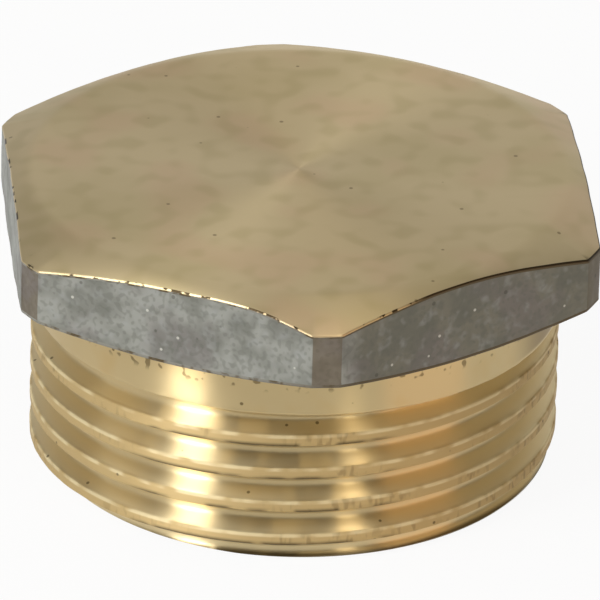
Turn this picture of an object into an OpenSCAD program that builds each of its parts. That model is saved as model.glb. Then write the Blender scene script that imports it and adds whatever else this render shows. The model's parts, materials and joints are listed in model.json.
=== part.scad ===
// Hexagon head blanking plug in brass with a parallel pipe thread, one forged and turned piece.
// The origin is on the thread axis, at the middle of the ring-shaped end face that the plug stands on.
// +Z runs along the axis from that end face to the top of the head.

/* [Hexagon head] */
// Spanner size, across the flats of the hexagon
across_flats = 36; // [30:0.5:50]
// Thickness of the head at its middle
head_h = 5.6; // [4:0.1:12]
// Amount turned off each hexagon corner, measured on the radius
corner_cut = 0.5; // [0.1:0.05:1.5]
// Width of the chamfer on the top face at the middle of a flat
top_chamfer_w = 1.1; // [0.3:0.1:3]
// Slope of the chamfer on the top face
top_chamfer_angle = 20; // [10:1:30]
// Width of the chamfer under the head at the middle of a flat
under_chamfer_w = 0.35; // [0.1:0.05:1]
// Slope of the chamfer under the head
under_chamfer_angle = 16; // [5:1:30]

/* [Threaded stub] */
// Length of the stub from its end face to the seat under the head
stub_h = 13.4; // [10:0.1:30]
// Outside diameter of the thread
thread_d = 33.249; // [20:0.001:42]
// Distance from one thread turn to the next
thread_pitch = 2.309; // [1.337:0.001:3]
// Angle between the two sides of a thread groove
thread_angle = 55; // [50:1:60]
// Length of the plain neck between the last groove and the head
plain_neck = 2.5; // [1:0.1:6]
// Part of a turn over which the last groove fades out
run_out_turns = 0.6; // [0.25:0.05:1]
// Direction, seen from the top, in which the last groove ends
run_out_azimuth = -125; // [-180:5:180]
// Width of the lead chamfer at the end of the stub
lead_chamfer = 1.1; // [0.3:0.1:2]

/* [Cavity] */
// Wall left between the thread root and the cavity at its mouth
cavity_wall = 2.6; // [1.5:0.1:5]
// Thickness of the head left above the cavity
cavity_roof = 4.8; // [2.5:0.1:8]
// Draft of the cavity side
cavity_draft = 2; // [0:0.5:5]
// Radius between the cavity side and its roof
cavity_fillet = 2.5; // [0.5:0.1:4]
// Width of the chamfer at the mouth of the cavity
mouth_chamfer = 0.6; // [0.2:0.1:1.5]

/* [Hidden] */
brass = "#b5985f";
blasted_brass = "#84837b";
round_fn = 96;
hexagon_fn = 6;
total_h = stub_h + head_h;
flat_r = across_flats / 2;
corner_r = flat_r / cos(30) - corner_cut;
top_flat_r = flat_r - top_chamfer_w;
under_flat_r = flat_r - under_chamfer_w;
thread_r = thread_d / 2;
// Height of the sharp thread triangle, and the sixth of it that is missing at crest and root
flank_slope = tan(thread_angle / 2);
sharp_h = thread_pitch / (2 * flank_slope);
groove_depth = sharp_h * 2 / 3;
root_flat = thread_pitch / 6;
root_r = thread_r - groove_depth;
// How far the cutting profile of the groove reaches outside the stub
groove_over = 0.2;
steps_per_turn = 48;
groove_end_z = stub_h - plain_neck;
groove_start_z = -thread_pitch;
groove_turns = (groove_end_z - groove_start_z) / thread_pitch;
groove_steps = ceil(groove_turns * steps_per_turn);
cavity_r = root_r - cavity_wall;
cavity_h = total_h - cavity_roof;
cavity_top_r = cavity_r - cavity_h * tan(cavity_draft);
fillet_steps = 6;

// Outline of the turned shape that the hexagon is cut to, as radius and height
function head_outline() = [
    [0, 0],
    [under_flat_r, 0],
    [corner_r, (corner_r - under_flat_r) * tan(under_chamfer_angle)],
    [corner_r, head_h - (corner_r - top_flat_r) * tan(top_chamfer_angle)],
    [top_flat_r, head_h],
    [0, head_h],
];

// Outline of the stub before its thread is cut, reaching a little into the head
function stub_outline() = [
    [0, 0],
    [thread_r - lead_chamfer, 0],
    [thread_r, lead_chamfer],
    [thread_r, stub_h + head_h / 4],
    [0, stub_h + head_h / 4],
];

// Outline of the cavity, from below its mouth up to its rounded roof
function cavity_outline() = concat(
    [
        [0, -1],
        [cavity_r + mouth_chamfer + 1, -1],
        [cavity_r, mouth_chamfer],
    ],
    [
        for (i = [0 : fillet_steps])
            let (a = i * 90 / fillet_steps)
                [
                    cavity_top_r - cavity_fillet * (1 - cos(a)),
                    cavity_h - cavity_fillet * (1 - sin(a)),
                ]
    ],
    [[0, cavity_h]]
);

// Four corners of the groove section after a number of turns, fading out over the last ones
function groove_section(turns) =
    let (
        left = groove_turns - turns,
        depth = left < run_out_turns ? groove_depth * left / run_out_turns : groove_depth,
        inner = thread_r - depth + (left <= 0 ? groove_over / 4 : 0),
        outer = thread_r + groove_over,
        z = groove_end_z - left * thread_pitch,
        angle = run_out_azimuth - 360 * left,
        half_in = root_flat / 2,
        half_out = half_in + (outer - inner) * flank_slope
    )
    [
        for (p = [[outer, half_out], [inner, half_in], [inner, -half_in], [outer, -half_out]])
            [p[0] * cos(angle), p[0] * sin(angle), z + p[1]]
    ];

// Helical body that cuts the thread groove
module thread_groove() {
    sections = [
        for (i = [0 : groove_steps])
            groove_section(min(i / steps_per_turn, groove_turns))
    ];
    side_faces = [
        for (i = [0 : groove_steps - 1], j = [0 : 3])
            let (k = (j + 1) % 4, a = 4 * i + j, b = 4 * i + k)
                each [[a, b, b + 4], [a, b + 4, a + 4]]
    ];
    last = 4 * groove_steps;
    end_faces = [
        [0, 3, 2, 1],
        [last, last + 1, last + 2, last + 3],
    ];
    polyhedron(points = [for (s = sections) each s], faces = concat(side_faces, end_faces), convexity = 10);
}

// Hexagon head with its turned corners and chamfers
module head() {
    color(blasted_brass)
        translate([0, 0, stub_h])
            intersection() {
                rotate([0, 0, 30])
                    cylinder(h = head_h, r = flat_r / cos(30), $fn = hexagon_fn);
                rotate_extrude($fn = round_fn)
                    polygon(head_outline());
            }
}

// Threaded stub with its plain neck and lead chamfer
module threaded_stub() {
    color(brass)
        difference() {
            rotate_extrude($fn = round_fn)
                polygon(stub_outline());
            thread_groove();
        }
}

// Blind cavity that opens in the end face of the stub
module cavity() {
    color(brass)
        rotate_extrude($fn = round_fn)
            polygon(cavity_outline());
}

module blanking_plug() {
    difference() {
        union() {
            head();
            threaded_stub();
        }
        cavity();
    }
}

blanking_plug();
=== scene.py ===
"""Looks of a hexagon head blanking plug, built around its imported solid.

The plug is one forging in brass. Its top, neck and thread are turned, its six flats keep the grey
skin that blasting left on the forging, and the cavity in its end keeps the skin of the punch.
Shapes are modelled in millimetres and brought to metres once the mesh is whole.
"""

import json
import logging
import math
from dataclasses import dataclass
from enum import IntEnum

import bmesh
import bpy
from mathutils import Matrix, Quaternion, Vector, noise


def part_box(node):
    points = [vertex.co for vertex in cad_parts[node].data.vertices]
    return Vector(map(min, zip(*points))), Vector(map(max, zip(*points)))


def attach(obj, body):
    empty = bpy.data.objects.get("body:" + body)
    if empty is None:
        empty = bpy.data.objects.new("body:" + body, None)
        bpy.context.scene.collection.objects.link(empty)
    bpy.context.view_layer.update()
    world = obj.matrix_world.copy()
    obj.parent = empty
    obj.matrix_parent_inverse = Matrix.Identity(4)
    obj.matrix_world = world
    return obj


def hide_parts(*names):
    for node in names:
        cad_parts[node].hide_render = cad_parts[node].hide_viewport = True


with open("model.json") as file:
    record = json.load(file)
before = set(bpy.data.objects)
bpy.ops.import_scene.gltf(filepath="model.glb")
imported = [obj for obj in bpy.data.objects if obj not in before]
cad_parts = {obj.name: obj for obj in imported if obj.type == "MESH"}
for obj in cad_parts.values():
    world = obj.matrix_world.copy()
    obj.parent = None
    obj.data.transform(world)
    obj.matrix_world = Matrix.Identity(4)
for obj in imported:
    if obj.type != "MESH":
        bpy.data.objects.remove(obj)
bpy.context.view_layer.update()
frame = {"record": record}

LOG = logging.getLogger("blanking_plug")
NODE = "blanking_plug"
MM = 0.001
FULL_TURN = 2 * math.pi
HEXAGON_SIDES = 6


class Zone(IntEnum):
    """Finish of a face of the plug; the value is its material slot."""

    FACED = 0
    CUT = 1
    BLASTED = 2
    CORNER = 3
    # Dark line beside the cut faces: scale, with painted shade.
    SCALE = 4
    FORGED = 5


@dataclass(frozen=True)
class PlugSizes:
    """Main sizes of the plug in millimetres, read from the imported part."""

    across_flats: float
    corner_radius: float
    height: float
    seat: float
    thread_radius: float
    groove_end: float

    @classmethod
    def from_frame(cls) -> "PlugSizes":
        """Reads the sizes.

        Returns:
            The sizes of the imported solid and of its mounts.
        """
        low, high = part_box(NODE)
        mounts = {mount["name"]: mount for mount in frame["record"]["mounts"]}
        return cls(
            across_flats=(high.x - low.x) / MM,
            corner_radius=(high.y - low.y) / MM / 2,
            height=(high.z - low.z) / MM,
            seat=mounts["seat"]["pos_m"][2] / MM,
            thread_radius=mounts["thread"]["dims"]["r_mm"],
            groove_end=mounts["thread"]["dims"]["length_mm"],
        )


def direction(azimuth: float, elevation: float) -> Vector:
    """Points from the plug to a place in the studio.

    Args:
        azimuth: Degrees from -Y towards +X.
        elevation: Degrees above the floor.

    Returns:
        A vector of length 1.
    """
    turn, rise = math.radians(azimuth), math.radians(elevation)
    return Vector((math.sin(turn) * math.cos(rise), -math.cos(turn) * math.cos(rise), math.sin(rise)))


def ease(value: float, start: float, end: float) -> float:
    """Eases from 0 at the start to 1 at the end."""
    part = min(max((value - start) / (end - start), 0), 1)
    return part * part * (3 - 2 * part)


def smooth_max(first: float, second: float, blend: float) -> float:
    """Returns the larger value, rounded off where the two are closer than the blend."""
    near = max(blend - abs(first - second), 0) / blend
    return max(first, second) + near * near * blend / 4


def rounded_outline(
    corners: list[tuple[float, float, float]], steps: int = 4
) -> list[tuple[float, float]]:
    """Rounds the corners of a turned outline.

    Args:
        corners: Radius and height of each corner, and the length taken off both its sides.
        steps: Segments of each rounding.

    Returns:
        Radius and height of each point of the rounded outline.
    """
    outline = []
    for index, (radius, height, cut) in enumerate(corners):
        corner = Vector((radius, height))
        if not cut:
            outline.append((radius, height))
            continue
        before = Vector(corners[index - 1][:2])
        after = Vector(corners[index + 1][:2])
        start = corner + (before - corner).normalized() * cut
        end = corner + (after - corner).normalized() * cut
        for step in range(steps + 1):
            part = step / steps
            point = start * (1 - part) ** 2 + corner * (2 * part * (1 - part)) + end * part**2
            outline.append((point.x, point.y))
    return outline


def set_radius(corner: bmesh.types.BMVert, radius: float) -> None:
    """Moves a corner square to the plug's axis until it has the radius."""
    corner.co.xy = corner.co.xy.normalized() * radius


def ring_at(mesh: bmesh.types.BMesh, height: float) -> list[bmesh.types.BMEdge]:
    """Finds an open rim.

    Args:
        mesh: The mesh being built.
        height: Height of the rim.

    Returns:
        The open edges at that height.
    """
    return [
        edge
        for edge in mesh.edges
        if edge.is_boundary and all(abs(corner.co.z - height) < 1e-4 for corner in edge.verts)
    ]


def turn_on(
    mesh: bmesh.types.BMesh,
    ring: list[bmesh.types.BMEdge],
    outline: list[tuple[float, float]],
    zone: Zone,
) -> list[bmesh.types.BMEdge]:
    """Extrudes an open rim along a turned outline, and closes it where the outline meets the axis.

    Args:
        mesh: The mesh being built.
        ring: The open rim to go on from.
        outline: Radius and height of each ring that follows.
        zone: Finish of the new faces.

    Returns:
        The new open rim, or nothing where it was closed.
    """
    for radius, height in outline:
        made = bmesh.ops.extrude_edge_only(mesh, edges=ring)["geom"]
        corners = {part for part in made if isinstance(part, bmesh.types.BMVert)}
        for part in made:
            if isinstance(part, bmesh.types.BMFace):
                part.material_index = zone
        for corner in corners:
            corner.co.z = height
            set_radius(corner, radius)
        ring = [
            part
            for part in made
            if isinstance(part, bmesh.types.BMEdge) and corners.issuperset(part.verts)
        ]
        if not radius:
            bmesh.ops.pointmerge(mesh, verts=list(corners), merge_co=Vector((0, 0, height)))
            return []
    return ring


@dataclass
class ThreadedStub:
    """Stub with its pipe thread and lead chamfer, from the end face to the plain neck."""

    radius: float
    neck_edge: float
    neck_top: float
    pitch: float = 2.309
    flank_angle: float = 55.0
    crest_land: float = 0.69
    root_land: float = 0.51
    run_out_azimuth: float = 136.0
    wide_turns: tuple[float, float] = (0.86, 0.95)
    lead_chamfer: float = 0.8
    crest_round: float = 0.12
    root_round: float = 0.3
    burr: float = 0.05
    burr_reach: float = 0.12
    burr_spacing: float = 0.9
    columns: int = 240

    @property
    def flank_slope(self) -> float:
        """Axial run of a thread flank for each millimetre of depth."""
        return math.tan(math.radians(self.flank_angle / 2))

    @property
    def foot(self) -> float:
        """Height of the foot of a flank from the middle of the groove."""
        return self.root_land / 2

    @property
    def shoulder(self) -> float:
        """Height of the shoulder of a crest from the middle of the groove."""
        return (self.pitch - self.crest_land) / 2

    @property
    def groove_depth(self) -> float:
        """Depth of the groove below the crests."""
        return (self.shoulder - self.foot) / self.flank_slope

    @property
    def groove_end(self) -> float:
        """Height at which the middle of the groove would be where the neck closes it."""
        return self.neck_edge + self.shoulder

    @property
    def phase_shift(self) -> float:
        """Share of a turn that brings the middle of the groove to 0 in the finish."""
        return self.run_out_azimuth / 360 - self.groove_end / self.pitch

    def section_offsets(self) -> list[float]:
        """Places the rows of one pitch, closest together where the section bends.

        Returns:
            Heights of the rows from the middle of the groove, in rising order.
        """
        half = [
            bend + reach * self.flank_slope * part
            for bend, reach in ((self.foot, self.root_round), (self.shoulder, self.crest_round))
            for part in (-1, -0.5, 0, 0.5, 1)
        ]
        half[5:5] = [half[4] + (half[5] - half[4]) * part for part in (1 / 3, 2 / 3)]
        return [-offset for offset in reversed(half)] + [0.0] + half + [self.pitch / 2]

    def groove_turns(self, azimuth: float) -> float:
        """Turns from the end of the run-out to an azimuth given in radians."""
        return azimuth / FULL_TURN - self.run_out_azimuth / 360

    def upper_shoulder(self, turns_left: float) -> float:
        """Works out how far above its middle the groove ends.

        The last turn runs up against the level edge of the neck, which closes it little by little.

        Args:
            turns_left: Turns from here to the end of the run-out.

        Returns:
            Height of the groove's upper edge from its middle.
        """
        if turns_left >= 1:
            return self.shoulder
        level = turns_left * self.pitch - self.shoulder
        return level - max(level - self.shoulder, 0) * ease(turns_left, *self.wide_turns)

    def skin_radius(self, azimuth: float, height: float) -> float:
        """Works out where the turned and threaded skin is.

        Args:
            azimuth: Direction from the axis, in radians.
            height: Height above the end face.

        Returns:
            Distance of the skin from the axis.
        """
        turns = self.groove_turns(azimuth)
        phase = (height - self.groove_end) / self.pitch - turns
        groove = round(phase)
        offset = (phase - groove) * self.pitch
        turns_left = -(turns + groove)
        if turns_left <= 0:
            return self.radius
        root = self.radius - self.groove_depth
        flank = root - (offset + self.foot) / self.flank_slope
        shoulder = self.upper_shoulder(turns_left)
        wall = self.radius - (shoulder - offset) / self.flank_slope
        groove_skin = smooth_max(smooth_max(root, flank, self.root_round), wall, self.root_round)
        skin = -smooth_max(-groove_skin, -self.radius, self.crest_round)
        inside = min(offset + self.shoulder, shoulder - offset)
        skin += self.burr * self.burr_share(azimuth, height, inside)
        return min(skin, self.radius - self.lead_chamfer + height)

    def burr_share(self, azimuth: float, height: float, inside: float) -> float:
        """Works out how much of the burr the tool left on the shoulder of a crest.

        Args:
            azimuth: Direction from the axis, in radians.
            height: Height above the end face.
            inside: Distance from the nearest shoulder into the groove; it is below 0 on the crest.

        Returns:
            Share of the full burr.
        """
        near = max(1 - abs(inside) / self.burr_reach, 0)
        if not near:
            return 0
        place = Vector((math.cos(azimuth), math.sin(azimuth), 0)) * self.radius
        place.z = height
        return near * noise.noise(place / self.burr_spacing)

    def build(self, mesh: bmesh.types.BMesh) -> None:
        """Spins the thread section up a screw path and trims it to the stub.

        Args:
            mesh: The empty mesh to build in.
        """
        start = self.groove_end + self.groove_turns(0) * self.pitch
        # The path rises by a pitch in a turn, so the section starts a whole pitch below the end face.
        lowest = math.floor(-1 - start / self.pitch)
        highest = math.ceil((self.neck_top - start) / self.pitch - 0.5)
        heights = [
            start + turn * self.pitch + offset
            for turn in range(lowest, highest + 1)
            for offset in self.section_offsets()
        ]
        section = [mesh.verts.new((self.radius, 0, z)) for z in heights]
        rows = [mesh.edges.new(pair) for pair in zip(section, section[1:])]
        # The last column lies on the first, one thread up, so use_merge would close it wrongly.
        bmesh.ops.spin(
            mesh,
            geom=section + rows,
            angle=FULL_TURN,
            steps=self.columns,
            axis=(0, 0, 1),
            cent=(0, 0, 0),
            dvec=(0, 0, self.pitch / self.columns),
            use_merge=False,
        )
        bmesh.ops.remove_doubles(mesh, verts=mesh.verts, dist=1e-3)
        trim_reach = 0.025
        for corner in mesh.verts:
            if corner.co.z < trim_reach:
                corner.co.z = 0
            elif corner.co.z > self.neck_top - trim_reach:
                corner.co.z = self.neck_top
        bmesh.ops.remove_doubles(mesh, verts=mesh.verts, dist=1e-3)
        wall = self.groove_depth * self.flank_slope
        bend = self.crest_round * self.flank_slope
        for drop in (wall, wall * 0.75, wall * 0.5, wall * 0.25, bend, bend / 2, 0, -bend / 2, -bend):
            bmesh.ops.bisect_plane(
                mesh,
                geom=[*mesh.verts, *mesh.edges, *mesh.faces],
                dist=0.01,
                plane_co=(0, 0, self.neck_edge - drop),
                plane_no=(0, 0, 1),
            )
        for corner in mesh.verts:
            azimuth = math.atan2(corner.co.y, corner.co.x)
            set_radius(corner, self.skin_radius(azimuth, corner.co.z))
        for face in mesh.faces:
            face.material_index = Zone.CUT


@dataclass(frozen=True)
class HighRim:
    """Upper rim of one flat where its chamfer is less deep; places run from the front corner."""

    side: int
    towards: int
    height: float
    start: float
    peak: float
    end: float

    def rise(self, place: float) -> float:
        """Returns how much higher the rim is at a place along the flat."""
        return self.height * ease(place, self.start, self.peak) * (1 - ease(place, self.peak, self.end))


@dataclass
class HexagonHead:
    """Hexagon head: turned top and seat, and six flats that keep the skin of the forging."""

    neck_radius: float
    seat: float
    top: float
    flat_radius: float
    corner_radius: float
    top_chamfer: float = 1.1
    top_chamfer_angle: float = 20.0
    under_chamfer: float = 0.35
    under_chamfer_angle: float = 16.0
    seat_fillet: float = 0.2
    faced_round: float = 0.4
    edge_round: float = 0.1
    # Width of the dark line of scale and painted shade round the skin.
    scale_line: float = 0.12
    flat_rows: int = 10
    unevenness: float = 0.05
    dent_width: float = 3.0
    high_rims: tuple[HighRim, ...] = (
        HighRim(side=5, towards=1, height=0.22, start=1.0, peak=10.0, end=20.5),
        HighRim(side=4, towards=-1, height=0.33, start=0.5, peak=4.7, end=12.0),
    )

    def build(self, mesh: bmesh.types.BMesh, columns: int) -> None:
        """Turns the head on from the neck and cuts it to the hexagon.

        Args:
            mesh: The mesh that holds the stub.
            columns: Number of columns that the rings have.
        """
        under_reach = self.corner_radius - self.flat_radius + self.under_chamfer
        under_corner = self.seat + under_reach * math.tan(math.radians(self.under_chamfer_angle))
        top_reach = self.corner_radius - self.flat_radius + self.top_chamfer
        top_corner = self.top - top_reach * math.tan(math.radians(self.top_chamfer_angle))
        faced_edge = self.flat_radius - self.top_chamfer
        ring = ring_at(mesh, max(corner.co.z for corner in mesh.verts))
        seat = rounded_outline(
            [
                (self.neck_radius, self.seat - 0.5, 0),
                (self.neck_radius, self.seat, self.seat_fillet),
                (self.flat_radius - self.under_chamfer, self.seat, 0),
            ]
        )
        ring = turn_on(mesh, ring, seat, Zone.CUT)
        ring = turn_on(mesh, ring, [(self.corner_radius, under_corner)], Zone.CUT)
        ring = turn_on(mesh, ring, [(self.corner_radius, top_corner)], Zone.CORNER)
        faced = rounded_outline(
            [
                (self.corner_radius, top_corner, 0),
                (faced_edge, self.top, self.faced_round),
                (0, self.top, 0),
            ]
        )[1:-1]
        middle = [(faced_edge * part, self.top) for part in (0.7, 0.4, 0.15, 0)]
        turn_on(mesh, ring, faced + middle, Zone.FACED)
        for side in range(HEXAGON_SIDES):
            self.cut_flat(mesh, side * FULL_TURN / HEXAGON_SIDES, columns)
        self.round_edges(mesh)
        for rim in self.high_rims:
            self.raise_rim(mesh, rim)
        self.roughen(mesh)

    def cut_flat(self, mesh: bmesh.types.BMesh, azimuth: float, columns: int) -> None:
        """Cuts one flat and divides it, so that it can be made uneven.

        Args:
            mesh: The mesh being built.
            azimuth: Direction that the flat faces, in radians.
            columns: Number of columns that the rings have.
        """
        square = Vector((math.cos(azimuth), math.sin(azimuth), 0))
        reach = [corner for corner in mesh.verts if corner.co.z > self.seat]
        faces = {face for corner in reach for face in corner.link_faces}
        corners = {corner for face in faces for corner in face.verts}
        edges = {edge for face in faces for edge in face.edges}
        cut = bmesh.ops.bisect_plane(
            mesh,
            geom=[*corners, *edges, *faces],
            dist=1e-4,
            plane_co=square * self.flat_radius,
            plane_no=square,
            clear_outer=True,
        )["geom_cut"]
        rim = [part for part in cut if isinstance(part, bmesh.types.BMEdge)]
        flat = bmesh.ops.contextual_create(mesh, geom=rim)["faces"][0]
        flat.material_index = Zone.BLASTED
        geometry = [flat, *flat.edges, *flat.verts]
        uprights = []
        half = int(math.acos(self.flat_radius / self.corner_radius) / FULL_TURN * columns)
        for column in range(-half, half + 1):
            turn = azimuth + column * FULL_TURN / columns
            split = bmesh.ops.bisect_plane(
                mesh,
                geom=geometry,
                dist=0.01,
                plane_co=(0, 0, 0),
                plane_no=(-math.sin(turn), math.cos(turn), 0),
            )
            geometry = split["geom"]
            uprights += [part for part in split["geom_cut"] if isinstance(part, bmesh.types.BMEdge)]
        uprights += [
            edge
            for edge in rim
            if edge.is_valid and abs(edge.verts[0].co.z - edge.verts[1].co.z) > self.edge_round * 10
        ]
        bmesh.ops.subdivide_edges(
            mesh, edges=list(set(uprights)), cuts=self.flat_rows - 1, use_grid_fill=True
        )

    def round_edges(self, mesh: bmesh.types.BMesh) -> None:
        """Breaks the sharp edges of the head and parts the dark line beside the cut faces: scale, with
        painted shade on the edges that face down.

        Args:
            mesh: The mesh being built.
        """
        sharp = [
            edge
            for edge in mesh.edges
            if all(corner.co.xy.length > self.flat_radius - 0.01 for corner in edge.verts)
            and len(edge.link_faces) == 2
            and edge.calc_face_angle() > math.radians(8)
        ]
        rounded = bmesh.ops.bevel(
            mesh,
            geom=sharp,
            offset=self.edge_round,
            offset_type="OFFSET",
            segments=2,
            profile=0.5,
            affect="EDGES",
            clamp_overlap=False,
            material=-1,
        )
        mesh.normal_update()
        middle = (self.seat + self.top) / 2
        # Rounded edges in the lower half face down and take the dark line as painted shade; the upper
        # ones join the faced top.
        for face in rounded["faces"]:
            if abs(face.normal.z) > 0.2:
                high = face.calc_center_median().z > middle
                face.material_index = Zone.FACED if high else Zone.SCALE
        # The border round the skin takes the dark line too: scale, with painted shade.
        skin = [face for face in mesh.faces if face.material_index in (Zone.BLASTED, Zone.CORNER)]
        border = bmesh.ops.inset_region(mesh, faces=skin, thickness=self.scale_line, depth=0)
        for face in border["faces"]:
            face.material_index = Zone.SCALE

    def raise_rim(self, mesh: bmesh.types.BMesh, rim: HighRim) -> None:
        """Raises the upper rim of one flat.

        Args:
            mesh: The mesh being built.
            rim: Where the rim is high, and by how much.
        """
        azimuth = rim.side * FULL_TURN / HEXAGON_SIDES
        square = Vector((math.cos(azimuth), math.sin(azimuth), 0))
        along = Vector((-square.y, square.x, 0)) * rim.towards
        half_side = self.flat_radius * math.tan(FULL_TURN / HEXAGON_SIDES / 2)
        faced_edge = self.flat_radius - self.top_chamfer
        for corner in mesh.verts:
            if corner.co.z <= self.seat or corner.co.dot(square) < 0.75 * self.flat_radius:
                continue
            outward = corner.co.xy.length
            place = half_side + corner.co.dot(along) * self.flat_radius / corner.co.dot(square)
            edge = self.flat_radius * outward / corner.co.dot(square)
            inward = min(max((outward - faced_edge) / (edge - faced_edge), 0), 1)
            upward = ease(corner.co.z, self.seat, self.top - self.top_chamfer)
            corner.co.z += rim.rise(place) * inward * upward

    def roughen(self, mesh: bmesh.types.BMesh) -> None:
        """Sinks the flats and rims a little, as a forging is never quite flat.

        Args:
            mesh: The mesh being built.
        """
        for corner in mesh.verts:
            outward = corner.co.xy.length
            if outward < self.flat_radius - 2 * self.edge_round:
                continue
            broad = noise.noise(corner.co / self.dent_width) + 0.5 * noise.noise(corner.co * 0.9)
            set_radius(corner, outward - self.unevenness * max(broad + 0.3, 0))


@dataclass
class Cavity:
    """Blind cavity in the end of the stub, with the ring face round it."""

    radius: float
    depth: float
    draft: float = 2.0
    fillet: float = 2.5
    mouth_chamfer: float = 0.6
    mouth_round: float = 0.15

    def build(self, mesh: bmesh.types.BMesh) -> None:
        """Goes on from the end of the thread, over the ring face and into the cavity.

        Args:
            mesh: The mesh that holds the stub.
        """
        top_radius = self.radius - self.depth * math.tan(math.radians(self.draft))
        mouth = rounded_outline(
            [
                (self.radius + self.mouth_chamfer + 1, 0, 0),
                (self.radius + self.mouth_chamfer, 0, self.mouth_round),
                (self.radius, self.mouth_chamfer, self.mouth_round),
                (top_radius, self.depth, 0),
            ],
            steps=2,
        )[:-1]
        punched = rounded_outline(
            [(*mouth[-1], 0), (top_radius, self.depth, self.fillet), (0, self.depth, 0)], steps=6
        )[:-1]
        (low_radius, low), (high_radius, high) = punched[:2]
        wall = [
            (low_radius + (high_radius - low_radius) * part, low + (high - low) * part)
            for part in (0.25, 0.5, 0.75)
        ]
        middle = [(top_radius * part, self.depth) for part in (0.5, 0.2, 0)]
        ring = turn_on(mesh, ring_at(mesh, 0), mouth, Zone.CUT)
        turn_on(mesh, ring, wall + punched[1:] + middle, Zone.FORGED)


def linear(colour: str) -> tuple[float, float, float, float]:
    """Turns an sRGB hex colour to the linear values that a shader takes.

    Args:
        colour: Six hex digits after a hash sign.

    Returns:
        Linear red, green and blue, and full alpha.
    """
    parts = [int(colour[place : place + 2], 16) / 255 for place in (1, 3, 5)]
    red, green, blue = (
        part / 12.92 if part <= 0.04045 else ((part + 0.055) / 1.055) ** 2.4 for part in parts
    )
    return red, green, blue, 1.0


def add_node(
    tree: bpy.types.NodeTree, kind: str, inputs: dict[int | str, object] | None = None, **settings: object
) -> bpy.types.Node:
    """Adds one node with its settings, values and links.

    Args:
        tree: The node tree to add to.
        kind: The node's type name.
        inputs: A value, or a socket to link, for each input that differs from the default.
        **settings: The node's own properties.

    Returns:
        The new node.
    """
    node = tree.nodes.new(kind)
    for name, value in settings.items():
        setattr(node, name, value)
    for name, value in (inputs or {}).items():
        if isinstance(value, bpy.types.NodeSocket):
            tree.links.new(value, node.inputs[name])
        else:
            node.inputs[name].default_value = value
    return node


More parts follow.
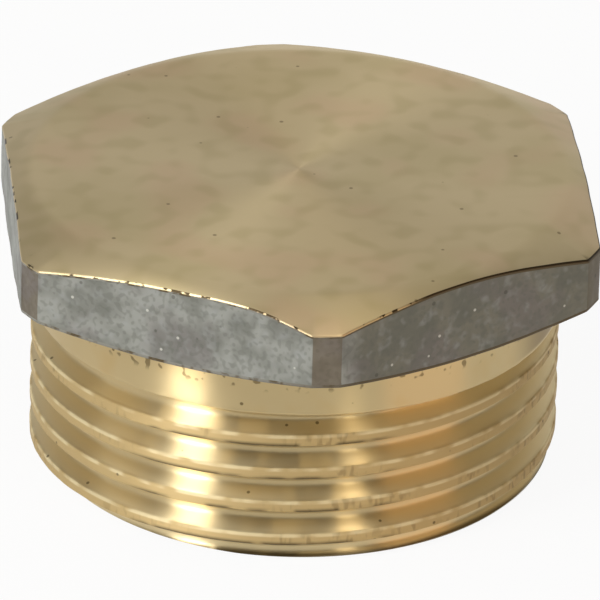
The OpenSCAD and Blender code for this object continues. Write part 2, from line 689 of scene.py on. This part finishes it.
@dataclass(frozen=True)
class Finish:
    """A finish of the brass: one metal shader, fed by patterns in millimetres."""

    name: str
    colour: str
    roughness: float
    metallic: float = 1.0
    anisotropy: float = 0.0

    def material(self) -> bpy.types.Material:
        """Makes the material.

        Returns:
            The finished material.
        """
        material = bpy.data.materials.new(self.name)
        material.use_nodes = True
        tree = material.node_tree
        tree.nodes.clear()
        coordinates = add_node(tree, "ShaderNodeTexCoord")
        place = add_node(
            tree,
            "ShaderNodeVectorMath",
            {0: coordinates.outputs["Object"], 1: (1 / MM,) * 3},
            operation="MULTIPLY",
        ).outputs[0]
        shader = add_node(
            tree,
            "ShaderNodeBsdfPrincipled",
            {
                "Base Color": linear(self.colour),
                "Metallic": self.metallic,
                "Roughness": self.roughness,
                "Anisotropic": self.anisotropy,
            },
        )
        add_node(tree, "ShaderNodeOutputMaterial", {"Surface": shader.outputs[0]})
        self.pattern(tree, place, shader)
        return material

    def pattern(
        self, tree: bpy.types.NodeTree, place: bpy.types.NodeSocket, shader: bpy.types.Node
    ) -> None:
        """Feeds the shader with the patterns of the finish.

        Args:
            tree: The material's node tree.
            place: Place on the plug, in millimetres.
            shader: The metal shader.
        """
        raise NotImplementedError

    @staticmethod
    def between(
        tree: bpy.types.NodeTree, value: bpy.types.NodeSocket, low: float, high: float
    ) -> bpy.types.NodeSocket:
        """Turns a value to a soft share.

        Args:
            tree: The material's node tree.
            value: The value.
            low: Value at which the share is 0.
            high: Value at which the share is 1; it may be the lower of the two.

        Returns:
            The share, from 0 to 1.
        """
        inputs = {"Value": value, "From Min": low, "From Max": high}
        if high < low:
            inputs = {"Value": value, "From Min": high, "From Max": low, "To Min": 1.0, "To Max": 0.0}
        return add_node(
            tree, "ShaderNodeMapRange", inputs, interpolation_type="SMOOTHSTEP"
        ).outputs[0]

    @staticmethod
    def both(
        tree: bpy.types.NodeTree, first: bpy.types.NodeSocket, second: bpy.types.NodeSocket
    ) -> bpy.types.NodeSocket:
        """Multiplies two shares."""
        return add_node(tree, "ShaderNodeMath", {0: first, 1: second}, operation="MULTIPLY").outputs[0]

    @classmethod
    def spots(
        cls,
        tree: bpy.types.NodeTree,
        place: bpy.types.NodeSocket,
        spacing: float,
        low: float,
        high: float,
        detail: float = 2.0,
    ) -> bpy.types.NodeSocket:
        """Makes soft spots.

        Args:
            tree: The material's node tree.
            place: Place on the plug, in millimetres.
            spacing: Distance between spots, in millimetres.
            low: Value of the noise at which a spot begins.
            high: Value of the noise at which a spot is full.
            detail: Octaves of the noise.

        Returns:
            Strength of the spots, from 0 to 1.
        """
        grain = add_node(
            tree, "ShaderNodeTexNoise", {"Vector": place, "Scale": 1 / spacing, "Detail": detail}
        )
        return cls.between(tree, grain.outputs[0], low, high)

    @classmethod
    def pits(
        cls, tree: bpy.types.NodeTree, place: bpy.types.NodeSocket, spacing: float, radius: float
    ) -> bpy.types.NodeSocket:
        """Makes scattered small round pits, each as large as the skin cuts its ball.

        Args:
            tree: The material's node tree.
            place: Place on the plug, in millimetres.
            spacing: Distance between the balls, in millimetres.
            radius: Radius of the balls, in millimetres.

        Returns:
            Strength of the pits, from 0 to 1.
        """
        cells = add_node(tree, "ShaderNodeTexVoronoi", {"Vector": place, "Scale": 1 / spacing})
        return cls.between(tree, cells.outputs["Distance"], radius / spacing, 0.6 * radius / spacing)

    @staticmethod
    def tint(
        tree: bpy.types.NodeTree,
        under: bpy.types.NodeSocket | tuple[float, float, float, float],
        over: str,
        amount: bpy.types.NodeSocket,
        most: float = 1.0,
    ) -> bpy.types.NodeSocket:
        """Lays one colour over another.

        Args:
            tree: The material's node tree.
            under: The colour so far.
            over: The colour to lay on, as sRGB hex.
            amount: Where it lies, from 0 to 1.
            most: Its strength where the amount is 1.

        Returns:
            The mixed colour.
        """
        share = add_node(tree, "ShaderNodeMath", {0: amount, 1: most}, operation="MULTIPLY")
        return add_node(
            tree, "ShaderNodeMix", {0: share.outputs[0], 6: under, 7: linear(over)}, data_type="RGBA"
        ).outputs[2]

    @staticmethod
    def relief(
        tree: bpy.types.NodeTree,
        height: bpy.types.NodeSocket,
        depth: float,
        under: bpy.types.NodeSocket | None = None,
    ) -> bpy.types.NodeSocket:
        """Turns a height to a bump.

        Args:
            tree: The material's node tree.
            height: Height from 0 to 1.
            depth: Real depth between 0 and 1, in millimetres.
            under: Normal of the coarser relief below.

        Returns:
            The bumped normal.
        """
        inputs = {"Height": height, "Distance": depth * MM, "Strength": 1.0}
        if under:
            inputs["Normal"] = under
        return add_node(tree, "ShaderNodeBump", inputs).outputs[0]


@dataclass(frozen=True)
class TurnedFinish(Finish):
    """Brass cut on a lathe: fine rings round the axis draw each light out across them."""

    mark_spacing: float = 0.3
    mark_depth: float = 0.0012

    @staticmethod
    def outward(
        tree: bpy.types.NodeTree, place: bpy.types.NodeSocket
    ) -> tuple[bpy.types.NodeSocket, bpy.types.NodeSocket]:
        """Measures from the axis.

        Args:
            tree: The material's node tree.
            place: Place on the plug, in millimetres.

        Returns:
            The direction and the distance from the axis.
        """
        level = add_node(
            tree, "ShaderNodeVectorMath", {0: place, 1: (1.0, 1.0, 0.0)}, operation="MULTIPLY"
        ).outputs[0]
        distance = add_node(tree, "ShaderNodeVectorMath", {0: level}, operation="LENGTH")
        towards = add_node(tree, "ShaderNodeVectorMath", {0: level}, operation="NORMALIZE")
        return towards.outputs[0], distance.outputs["Value"]

    def turning(
        self, tree: bpy.types.NodeTree, place: bpy.types.NodeSocket, shader: bpy.types.Node
    ) -> bpy.types.NodeSocket:
        """Points the sheen across the tool marks and cuts the marks.

        Args:
            tree: The material's node tree.
            place: Place on the plug, in millimetres.
            shader: The metal shader.

        Returns:
            Height of the tool marks, from 0 to 1.
        """
        along = add_node(
            tree, "ShaderNodeVectorMath", {0: (0.0, 0.0, 1.0), 1: place}, operation="CROSS_PRODUCT"
        )
        tree.links.new(along.outputs[0], shader.inputs["Tangent"])
        shader.inputs["Anisotropic Rotation"].default_value = 0.25
        split = add_node(tree, "ShaderNodeSeparateXYZ", {0: place})
        path = add_node(
            tree,
            "ShaderNodeMath",
            {0: self.outward(tree, place)[1], 1: split.outputs[2]},
            operation="SUBTRACT",
        )
        marks = add_node(
            tree,
            "ShaderNodeTexNoise",
            {"W": path.outputs[0], "Scale": 1 / self.mark_spacing, "Detail": 3.0, "Roughness": 0.6},
            noise_dimensions="1D",
        )
        return marks.outputs[0]


@dataclass(frozen=True)
class FacedBrass(TurnedFinish):
    """Faced top: flat rings, a soft streak of light, and a thin uneven tarnish."""

    rim_level: float = 0.88
    # Where the painted shade along the rim begins towards +X.
    rim_shade_start: float = 4.5

    def pattern(
        self, tree: bpy.types.NodeTree, place: bpy.types.NodeSocket, shader: bpy.types.Node
    ) -> None:
        """Feeds the shader with tarnish, handling marks, facing rings, nicks in the rim, and painted
        shade along the rim towards +X.
        """
        marks = self.turning(tree, place, shader)
        broad = self.spots(tree, place, 7.0, 0.42, 0.7)
        colour = self.tint(tree, linear(self.colour), "#bfae80", broad, 0.5)
        colour = self.tint(tree, colour, "#cfae8c", self.spots(tree, place, 5.0, 0.5, 0.75, 0.0), 0.35)
        colour = self.tint(tree, colour, "#b5a476", self.spots(tree, place, 1.6, 0.45, 0.8, 0.0), 0.4)
        colour = self.tint(tree, colour, "#6b5a38", self.pits(tree, place, 2.4, 0.16), 0.6)
        tilt = add_node(tree, "ShaderNodeNewGeometry").outputs["Normal"]
        level = add_node(tree, "ShaderNodeSeparateXYZ", {0: tilt}).outputs[2]
        across = add_node(tree, "ShaderNodeSeparateXYZ", {0: place}).outputs[0]
        # The rim's rounding is dark in scattered nicks, and wholly dark towards +X as painted shade on
        # the side away from the lamps.
        right_rim_shade = self.between(tree, across, self.rim_shade_start, self.rim_shade_start + 2)
        torn = add_node(
            tree,
            "ShaderNodeMath",
            {0: self.spots(tree, place, 0.8, 0.54, 0.6), 1: right_rim_shade},
            operation="MAXIMUM",
        ).outputs[0]
        nicks_and_shade = self.both(tree, torn, self.between(tree, level, self.rim_level, self.rim_level - 0.05))
        colour = self.tint(tree, colour, "#33281a", nicks_and_shade, 0.95)
        tree.links.new(colour, shader.inputs["Base Color"])
        tree.links.new(self.relief(tree, marks, self.mark_depth), shader.inputs["Normal"])


@dataclass(frozen=True)
class CutBrass(TurnedFinish):
    """Cut thread and neck: smooth flanks, dull crests torn by chatter, and dirt with painted shade under
    the crests.
    """

    pitch: float = 2.309
    phase_shift: float = 0.0
    crest: float = 16.6
    neck_edge: float = 10.3
    crest_roughness: float = 0.8
    crest_metallic: float = 0.5
    tick_spacing: float = 0.4
    dirt_and_shade_phase: float = 0.275
    dirt_and_shade_middle: float = -3.2
    dirt_and_shade_reach: float = 9.0
    # Place of the painted glints on the burr at the upper shoulder of the crests.
    burr_glint_phase: float = 0.63
    ragged_start: float = 11.8
    neck_shade_start: float = 12.0

    def phase(self, tree: bpy.types.NodeTree, place: bpy.types.NodeSocket) -> bpy.types.NodeSocket:
        """Follows the thread: 0 is the middle of the groove and 0.5 the middle of the crest.

        Args:
            tree: The material's node tree.
            place: Place on the plug, in millimetres.

        Returns:
            The place across the thread, from 0 to 1.
        """
        split = add_node(tree, "ShaderNodeSeparateXYZ", {0: place})
        azimuth = add_node(
            tree, "ShaderNodeMath", {0: split.outputs[1], 1: split.outputs[0]}, operation="ARCTAN2"
        )
        shift = add_node(
            tree,
            "ShaderNodeMath",
            {0: azimuth.outputs[0], 1: -1 / FULL_TURN, 2: self.phase_shift},
            operation="MULTIPLY_ADD",
        )
        turns = add_node(
            tree,
            "ShaderNodeMath",
            {0: split.outputs[2], 1: 1 / self.pitch, 2: shift.outputs[0]},
            operation="MULTIPLY_ADD",
        )
        return add_node(tree, "ShaderNodeMath", {0: turns.outputs[0]}, operation="FRACT").outputs[0]

    def line(
        self, tree: bpy.types.NodeTree, phase: bpy.types.NodeSocket, middle: float, half: float
    ) -> bpy.types.NodeSocket:
        """Makes a soft line along the thread.

        Args:
            tree: The material's node tree.
            phase: Place across the thread.
            middle: Where the line lies.
            half: Half its width.

        Returns:
            Strength of the line, from 0 to 1.
        """
        apart = add_node(tree, "ShaderNodeMath", {0: phase, 1: middle}, operation="SUBTRACT")
        away = add_node(tree, "ShaderNodeMath", {0: apart.outputs[0]}, operation="ABSOLUTE")
        return self.between(tree, away.outputs[0], half, half / 3)

    def pattern(
        self, tree: bpy.types.NodeTree, place: bpy.types.NodeSocket, shader: bpy.types.Node
    ) -> None:
        """Feeds the shader with tool marks, chatter ticks on the crests, painted glints on their
        shoulders, and dirt with painted shade under them.
        """
        marks = self.turning(tree, place, shader)
        towards, distance = self.outward(tree, place)
        split = add_node(tree, "ShaderNodeSeparateXYZ", {0: place})
        threaded = self.between(tree, split.outputs[2], self.neck_edge, self.neck_edge - 0.2)
        broad = self.spots(tree, place, 3.0, 0.45, 0.75)
        colour = self.tint(tree, linear(self.colour), "#cfae74", broad, 0.4)
        low = self.between(tree, distance, self.crest - 0.05, self.crest - 0.3)
        colour = self.tint(tree, colour, "#e4d0a2", low, 0.9)
        # Ticks stand across the crest, so their noise is drawn out along it.
        rise = add_node(tree, "ShaderNodeCombineXYZ", {2: split.outputs[2]})
        spread = add_node(
            tree,
            "ShaderNodeVectorMath",
            {0: towards, 1: (self.crest / self.tick_spacing,) * 3, 2: rise.outputs[0]},
            operation="MULTIPLY_ADD",
        )
        grain = add_node(
            tree, "ShaderNodeTexNoise", {"Vector": spread.outputs[0], "Scale": 1.0, "Detail": 1.0}
        ).outputs[0]
        land = self.between(tree, distance, self.crest - 0.12, self.crest - 0.04)
        band = self.both(tree, threaded, land)
        colour = self.tint(tree, colour, "#c8ae79", band, 0.8)
        torn = self.both(tree, band, self.spots(tree, place, 5.0, 0.4, 0.6, 0.0))
        chatter = self.both(tree, torn, self.between(tree, grain, 0.5, 0.66))
        colour = self.tint(tree, colour, "#6a5028", chatter, 0.32)
        phase = self.phase(tree, place)
        # Pale dashes on the burr at the upper shoulder of the crests: painted glints.
        burr = self.both(tree, threaded, self.line(tree, phase, self.burr_glint_phase, 0.085))
        burr = self.both(tree, burr, self.spots(tree, place, 1.5, 0.34, 0.62, 1.0))
        colour = self.tint(tree, colour, "#f0e1b6", burr, 0.75)
        # Dark line in the upper corner of the groove, under the crests and in front: dirt, with painted
        # shade.
        dirt_and_shade = self.both(tree, threaded, self.line(tree, phase, self.dirt_and_shade_phase, 0.2))
        dirt_and_shade = self.both(tree, dirt_and_shade, self.spots(tree, place, 2.6, 0.42, 0.54, 1.0))
        beside = add_node(
            tree, "ShaderNodeMath", {0: split.outputs[0], 1: self.dirt_and_shade_middle}, operation="SUBTRACT"
        )
        away = add_node(tree, "ShaderNodeMath", {0: beside.outputs[0]}, operation="ABSOLUTE")
        dirt_and_shade_front = self.between(tree, away.outputs[0], self.dirt_and_shade_reach, self.dirt_and_shade_reach - 2.5)
        colour = self.tint(tree, colour, "#33280f", self.both(tree, dirt_and_shade, dirt_and_shade_front), 0.85)
        # Painted shade at the foot, in patches; it covers the whole lead chamfer towards +X.
        climb = self.between(tree, split.outputs[0], 4.0, 12.0)
        lowered = add_node(
            tree, "ShaderNodeMath", {0: climb, 1: -0.2, 2: split.outputs[2]}, operation="MULTIPLY_ADD"
        ).outputs[0]
        foot = self.both(
            tree,
            self.between(tree, lowered, 0.28, 0.12),
            self.spots(tree, place, 2.2, 0.2, 0.34, 1.0),
        )
        foot = self.both(tree, foot, self.between(tree, distance, self.crest - 1.1, self.crest - 0.9))
        colour = self.tint(tree, colour, "#40331a", foot, 0.8)
        ragged = self.both(
            tree,
            self.between(tree, split.outputs[2], self.ragged_start, self.ragged_start + 0.5),
            self.spots(tree, place, 0.6, 0.58, 0.66, 1.0),
        )
        ragged = self.both(tree, ragged, self.between(tree, distance, self.crest + 0.6, self.crest + 0.2))
        colour = self.tint(tree, colour, "#4a3717", ragged, 0.6)
        # Painted shade on the neck under the head's corner towards +X.
        neck_shade = self.both(
            tree,
            self.between(tree, split.outputs[0], self.neck_shade_start, self.neck_shade_start + 3),
            self.between(tree, split.outputs[2], self.neck_edge, self.neck_edge + 0.3),
        )
        colour = self.tint(tree, colour, "#806a40", neck_shade, 0.85)
        colour = self.tint(tree, colour, "#54421f", self.pits(tree, place, 1.9, 0.14), 0.7)
        tree.links.new(colour, shader.inputs["Base Color"])
        for name, worn in (("Roughness", self.crest_roughness), ("Metallic", self.crest_metallic)):
            cut = shader.inputs[name]
            dull = add_node(
                tree, "ShaderNodeMapRange", {"Value": band, "To Min": cut.default_value, "To Max": worn}
            )
            tree.links.new(dull.outputs[0], cut)
        fine = self.relief(tree, marks, self.mark_depth)
        tree.links.new(self.relief(tree, chatter, 0.012, fine), shader.inputs["Normal"])


@dataclass(frozen=True)
class BlastedBrass(Finish):
    """Forging skin after blasting: grey, matt and finely dented, with pale and dark grains."""

    shade: str = "#62635a"
    pale: str = "#9d9f9c"
    grain: float = 0.3
    grain_depth: float = 0.015

    def pattern(
        self, tree: bpy.types.NodeTree, place: bpy.types.NodeSocket, shader: bpy.types.Node
    ) -> None:
        """Feeds the shader with painted shade on the flats towards +X, mottling, grains and dents."""
        across = add_node(tree, "ShaderNodeSeparateXYZ", {0: place}).outputs[0]
        # The flats towards +X, away from the lamps, take a darker olive tone: painted shade.
        right_side_shade = self.between(tree, across, 1.2, 2.4)
        colour = self.tint(tree, linear(self.colour), "#5f5945", right_side_shade, 0.66)
        colour = self.tint(tree, colour, self.shade, self.spots(tree, place, 2.4, 0.4, 0.62), 0.5)
        colour = self.tint(tree, colour, "#77706e", self.spots(tree, place, 3.7, 0.5, 0.66), 0.5)
        colour = self.tint(tree, colour, self.shade, self.spots(tree, place, 0.9, 0.42, 0.7, 1.0), 0.35)
        colour = self.tint(tree, colour, self.pale, self.spots(tree, place, 0.75, 0.5, 0.8, 1.0), 0.4)
        colour = self.tint(tree, colour, self.shade, self.spots(tree, place, 0.3, 0.5, 0.7, 0.0), 0.35)
        colour = self.tint(tree, colour, "#cfcdc3", self.pits(tree, place, 1.5, 0.12), 0.7)
        shifted = add_node(
            tree, "ShaderNodeVectorMath", {0: place, 1: (5.0, 3.0, 1.0)}, operation="ADD"
        ).outputs[0]
        colour = self.tint(tree, colour, "#3f3d33", self.pits(tree, shifted, 1.8, 0.17), 0.5)
        tree.links.new(colour, shader.inputs["Base Color"])
        grains = add_node(tree, "ShaderNodeTexNoise", {"Vector": place, "Scale": 1 / self.grain})
        tree.links.new(self.relief(tree, grains.outputs[0], self.grain_depth), shader.inputs["Normal"])


@dataclass(frozen=True)
class ScaleAndShadeLine(Finish):
    """Brown line beside the cut faces, thin and broken: scale, with painted shade where the edges face
    down or away from the lamps.
    """

    def pattern(
        self, tree: bpy.types.NodeTree, place: bpy.types.NodeSocket, shader: bpy.types.Node
    ) -> None:
        """Feeds the shader with breaks in the line, more of them towards -X, so that the painted shade is
        fullest towards +X, away from the lamps.
        """
        split = add_node(tree, "ShaderNodeSeparateXYZ", {0: place})
        # Breaks show the grey skin; towards +X, away from the lamps, the painted shade stays whole.
        worn = self.between(tree, split.outputs[0], 4.0, -6.0)
        broken = self.both(tree, worn, self.spots(tree, place, 0.7, 0.35, 0.55))
        colour = self.tint(tree, linear(self.colour), "#8b8a82", broken, 0.9)
        tree.links.new(colour, shader.inputs["Base Color"])


@dataclass(frozen=True)
class ForgedBrass(Finish):
    """Skin that the forging punch left: dull yellow brown, with soft scale marks."""

    grain: float = 0.5
    grain_depth: float = 0.03

    def pattern(
        self, tree: bpy.types.NodeTree, place: bpy.types.NodeSocket, shader: bpy.types.Node
    ) -> None:
        """Feeds the shader with scale and soft dents."""
        scale = self.spots(tree, place, 2.5, 0.4, 0.7)
        colour = self.tint(tree, linear(self.colour), "#6e5c3a", scale, 0.8)
        colour = self.tint(tree, colour, "#b9a986", self.spots(tree, place, 0.7, 0.62, 0.75), 0.5)
        tree.links.new(colour, shader.inputs["Base Color"])
        grains = add_node(
            tree, "ShaderNodeTexNoise", {"Vector": place, "Scale": 1 / self.grain, "Detail": 3.0}
        )
        tree.links.new(self.relief(tree, grains.outputs[0], self.grain_depth), shader.inputs["Normal"])


@dataclass
class BlankingPlug:
    """The whole plug: threaded stub, hexagon head and cavity in one closed skin."""

    sizes: PlugSizes
    neck_margin: float = 0.8
    neck_drop: float = 0.52
    cavity_wall: float = 4.0785
    cavity_roof: float = 4.8

    def __post_init__(self) -> None:
        """Works out the sub-assemblies from the main sizes."""
        sizes = self.sizes
        self.stub = ThreadedStub(
            radius=sizes.thread_radius,
            neck_edge=sizes.groove_end - self.neck_drop,
            neck_top=sizes.seat - self.neck_margin,
        )
        self.head = HexagonHead(
            neck_radius=sizes.thread_radius,
            seat=sizes.seat,
            top=sizes.height,
            flat_radius=sizes.across_flats / 2,
            corner_radius=sizes.corner_radius,
        )
        self.cavity = Cavity(
            radius=sizes.thread_radius - self.cavity_wall, depth=sizes.height - self.cavity_roof
        )

    def build(self) -> bpy.types.Object:
        """Models the plug as one closed mesh.

        Returns:
            The new object, in metres, at the origin.
        """
        mesh = bmesh.new()
        self.stub.build(mesh)
        self.head.build(mesh, self.stub.columns)
        self.cavity.build(mesh)
        bmesh.ops.recalc_face_normals(mesh, faces=mesh.faces)
        bmesh.ops.scale(mesh, vec=(MM, MM, MM), verts=mesh.verts)
        data = bpy.data.meshes.new("blanking_plug_finished")
        mesh.to_mesh(data)
        mesh.free()
        data.shade_smooth()
        data.set_sharp_from_angle(angle=math.radians(40))
        piece = bpy.data.objects.new(data.name, data)
        bpy.context.scene.collection.objects.link(piece)
        return piece

    def dress(self, piece: bpy.types.Object) -> None:
        """Gives each zone of the plug its finish.

        Args:
            piece: The object that build made.
        """
        finishes = {
            Zone.FACED: FacedBrass("faced_brass", "#cfbc93", 0.436, anisotropy=0.667),
            Zone.CUT: CutBrass(
                "cut_brass",
                "#d2bc8d",
                0.35,
                anisotropy=1.0,
                pitch=self.stub.pitch,
                phase_shift=self.stub.phase_shift,
                crest=self.stub.radius,
                neck_edge=self.stub.neck_edge,
            ),
            Zone.BLASTED: BlastedBrass("blasted_brass", "#969790", 0.6, metallic=0.5),
            Zone.CORNER: BlastedBrass(
                "corner_skin", "#766e60", 0.6, metallic=0.5, shade="#635b4d", pale="#847c6f"
            ),
            # Dark brown line of scale and painted shade beside the cut faces.
            Zone.SCALE: ScaleAndShadeLine("scale_line", "#54462c", 0.6, metallic=0.3),
            Zone.FORGED: ForgedBrass("forged_brass", "#96825a", 0.5),
        }
        for zone in Zone:
            piece.data.materials.append(finishes[zone].material())


@dataclass(frozen=True)
class PhotoCamera:
    """Camera at the angle of the photograph; its lengths are in millimetres."""

    azimuth: float = -5.771
    elevation: float = 27.333
    roll: float = 1.467
    distance: float = 699.0
    lens: float = 666.7
    aim_height: float = 9.0
    aim_right: float = 0.303
    aim_up: float = 0.679

    def build(self) -> bpy.types.Object:
        """Makes the camera and gives it to the scene.

        Returns:
            The camera object.
        """
        turn, roll = math.radians(self.azimuth), math.radians(self.roll)
        back = direction(self.azimuth, self.elevation)
        level = Vector((math.cos(turn), math.sin(turn), 0))
        upright = back.cross(level)
        right = level * math.cos(roll) + upright * math.sin(roll)
        up = upright * math.cos(roll) - level * math.sin(roll)
        aim = Vector((0, 0, self.aim_height)) + right * self.aim_right + up * self.aim_up
        place = Matrix((right, up, back)).transposed().to_4x4()
        place.translation = (aim + back * self.distance) * MM
        camera = bpy.data.objects.new("camera", bpy.data.cameras.new("camera"))
        camera.data.lens = self.lens
        camera.data.sensor_width = 36
        camera.data.clip_start = self.distance * MM / 10
        camera.data.clip_end = 20
        camera.matrix_world = place
        bpy.context.scene.collection.objects.link(camera)
        bpy.context.scene.camera = camera
        return camera


@dataclass(frozen=True)
class SoftBox:
    """Soft lamp that faces the plug; its azimuth counts from the camera to the right."""

    name: str
    azimuth: float
    elevation: float
    width: float
    height: float
    radiance: float
    lean: float = 0.0
    colour: str = "#ffffff"
    distance: float = 0.8

    def build(self, camera: PhotoCamera) -> bpy.types.Object:
        """Hangs the lamp.

        Args:
            camera: The camera that its azimuth counts from.

        Returns:
            The lamp object.
        """
        back = direction(camera.azimuth + self.azimuth, self.elevation)
        light = bpy.data.lights.new(self.name, "AREA")
        light.shape = "RECTANGLE"
        light.size = 2 * self.distance * math.tan(math.radians(self.width / 2))
        light.size_y = 2 * self.distance * math.tan(math.radians(self.height / 2))
        light.energy = self.radiance * math.pi * light.size * light.size_y
        light.color = linear(self.colour)[:3]
        lamp = bpy.data.objects.new(self.name, light)
        lamp.rotation_mode = "QUATERNION"
        lean = Quaternion((0, 0, 1), math.radians(self.lean))
        lamp.rotation_quaternion = back.to_track_quat("Z", "Y") @ lean
        lamp.location = back * self.distance
        bpy.context.scene.collection.objects.link(lamp)
        return lamp


@dataclass(frozen=True)
class Studio:
    """Pale floor, plain room and soft lamps."""

    floor_radius: float = 4.0
    floor_colour: str = "#dededc"
    floor_white: float = 0.92
    overhead: float = 0.58
    wall_front: float = 0.18
    wall_back: float = 0.7
    wall_sides: float = -0.25

    def build(self, camera: PhotoCamera) -> None:
        """Lays the floor, lights the room and hangs the lamps.

        Args:
            camera: The camera that the lamps are placed from.
        """
        self.lay_floor()
        self.light_room()
        for lamp in (
            SoftBox("left_softbox", -48, 30, 14, 50, 11.0, 15),
            SoftBox("left_fill", -84, 42, 36, 44, 0.75, 15),
            SoftBox("right_strip", 30, 50, 5, 60, 6.0, -13, "#fff0d6"),
            SoftBox("overhead_softbox", -4, 62, 44, 30, 0.8),
            SoftBox("right_card", 56, 5, 36, 30, 1.5, 0, "#ffc486"),
            SoftBox("back_card", 160, 28, 50, 40, 0.18),
        ):
            lamp.build(camera)

    def lay_floor(self) -> None:
        """Lays a round pale floor just under the plug, which shows as white but for its shadow."""
        mesh = bmesh.new()
        bmesh.ops.create_circle(mesh, cap_ends=True, segments=96, radius=self.floor_radius)
        bmesh.ops.translate(mesh, vec=(0, 0, -0.02 * MM), verts=mesh.verts)
        data = bpy.data.meshes.new("floor")
        mesh.to_mesh(data)
        mesh.free()
        floor = bpy.data.objects.new("floor", data)
        bpy.context.scene.collection.objects.link(floor)
        material = bpy.data.materials.new("pale_floor")
        material.use_nodes = True
        tree = material.node_tree
        tree.nodes.clear()
        paint = add_node(tree, "ShaderNodeBsdfDiffuse", {"Color": linear(self.floor_colour)})
        white = add_node(tree, "ShaderNodeEmission", {"Strength": 1.0})
        ray = add_node(tree, "ShaderNodeLightPath")
        seen = ray.outputs["Is Camera Ray"]
        for kind in ("Is Glossy Ray", "Is Transmission Ray"):
            seen = add_node(
                tree, "ShaderNodeMath", {0: seen, 1: ray.outputs[kind]}, operation="MAXIMUM"
            ).outputs[0]
        share = add_node(tree, "ShaderNodeMath", {0: seen, 1: self.floor_white}, operation="MULTIPLY")
        mixed = add_node(
            tree,
            "ShaderNodeMixShader",
            {0: share.outputs[0], 1: paint.outputs[0], 2: white.outputs[0]},
        )
        add_node(tree, "ShaderNodeOutputMaterial", {"Surface": mixed.outputs[0]})
        data.materials.append(material)

    def light_room(self) -> None:
        """Lights the room: a dim front, dim sides, and paler at the back and overhead."""
        world = bpy.data.worlds.new("room")
        world.use_nodes = True
        tree = world.node_tree
        tree.nodes.clear()
        coordinates = add_node(tree, "ShaderNodeTexCoord")
        split = add_node(tree, "ShaderNodeSeparateXYZ", {0: coordinates.outputs["Generated"]})
        wall = add_node(
            tree,
            "ShaderNodeMapRange",
            {
                "Value": split.outputs[1],
                "From Min": -0.8,
                "From Max": 0.8,
                "To Min": self.wall_front,
                "To Max": self.wall_back,
            },
        )
        side = add_node(tree, "ShaderNodeMath", {0: split.outputs[0]}, operation="ABSOLUTE")
        dimmed = add_node(
            tree,
            "ShaderNodeMath",
            {0: side.outputs[0], 1: self.wall_sides, 2: wall.outputs[0]},
            operation="MULTIPLY_ADD",
            use_clamp=True,
        )
        level = add_node(
            tree,
            "ShaderNodeMapRange",
            {
                "Value": split.outputs[2],
                "From Min": 0.6,
                "From Max": 1.0,
                "To Min": dimmed.outputs[0],
                "To Max": self.overhead,
            },
            interpolation_type="SMOOTHSTEP",
        )
        room = add_node(tree, "ShaderNodeBackground", {"Strength": level.outputs[0]})
        add_node(tree, "ShaderNodeOutputWorld", {"Surface": room.outputs[0]})
        bpy.context.scene.world = world


def main() -> None:
    logging.basicConfig(level=logging.INFO, format="%(name)s: %(message)s")
    bpy.context.scene.view_settings.view_transform = "Standard"
    camera = PhotoCamera()
    camera.build()
    plug = BlankingPlug(PlugSizes.from_frame())
    piece = plug.build()
    plug.dress(piece)
    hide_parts(NODE)
    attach(piece, "root")
    LOG.info("%s: %d faces", piece.name, len(piece.data.polygons))
    Studio().build(camera)
    LOG.info("studio: floor, room and lamps")


if __name__ == "__main__":
    main()
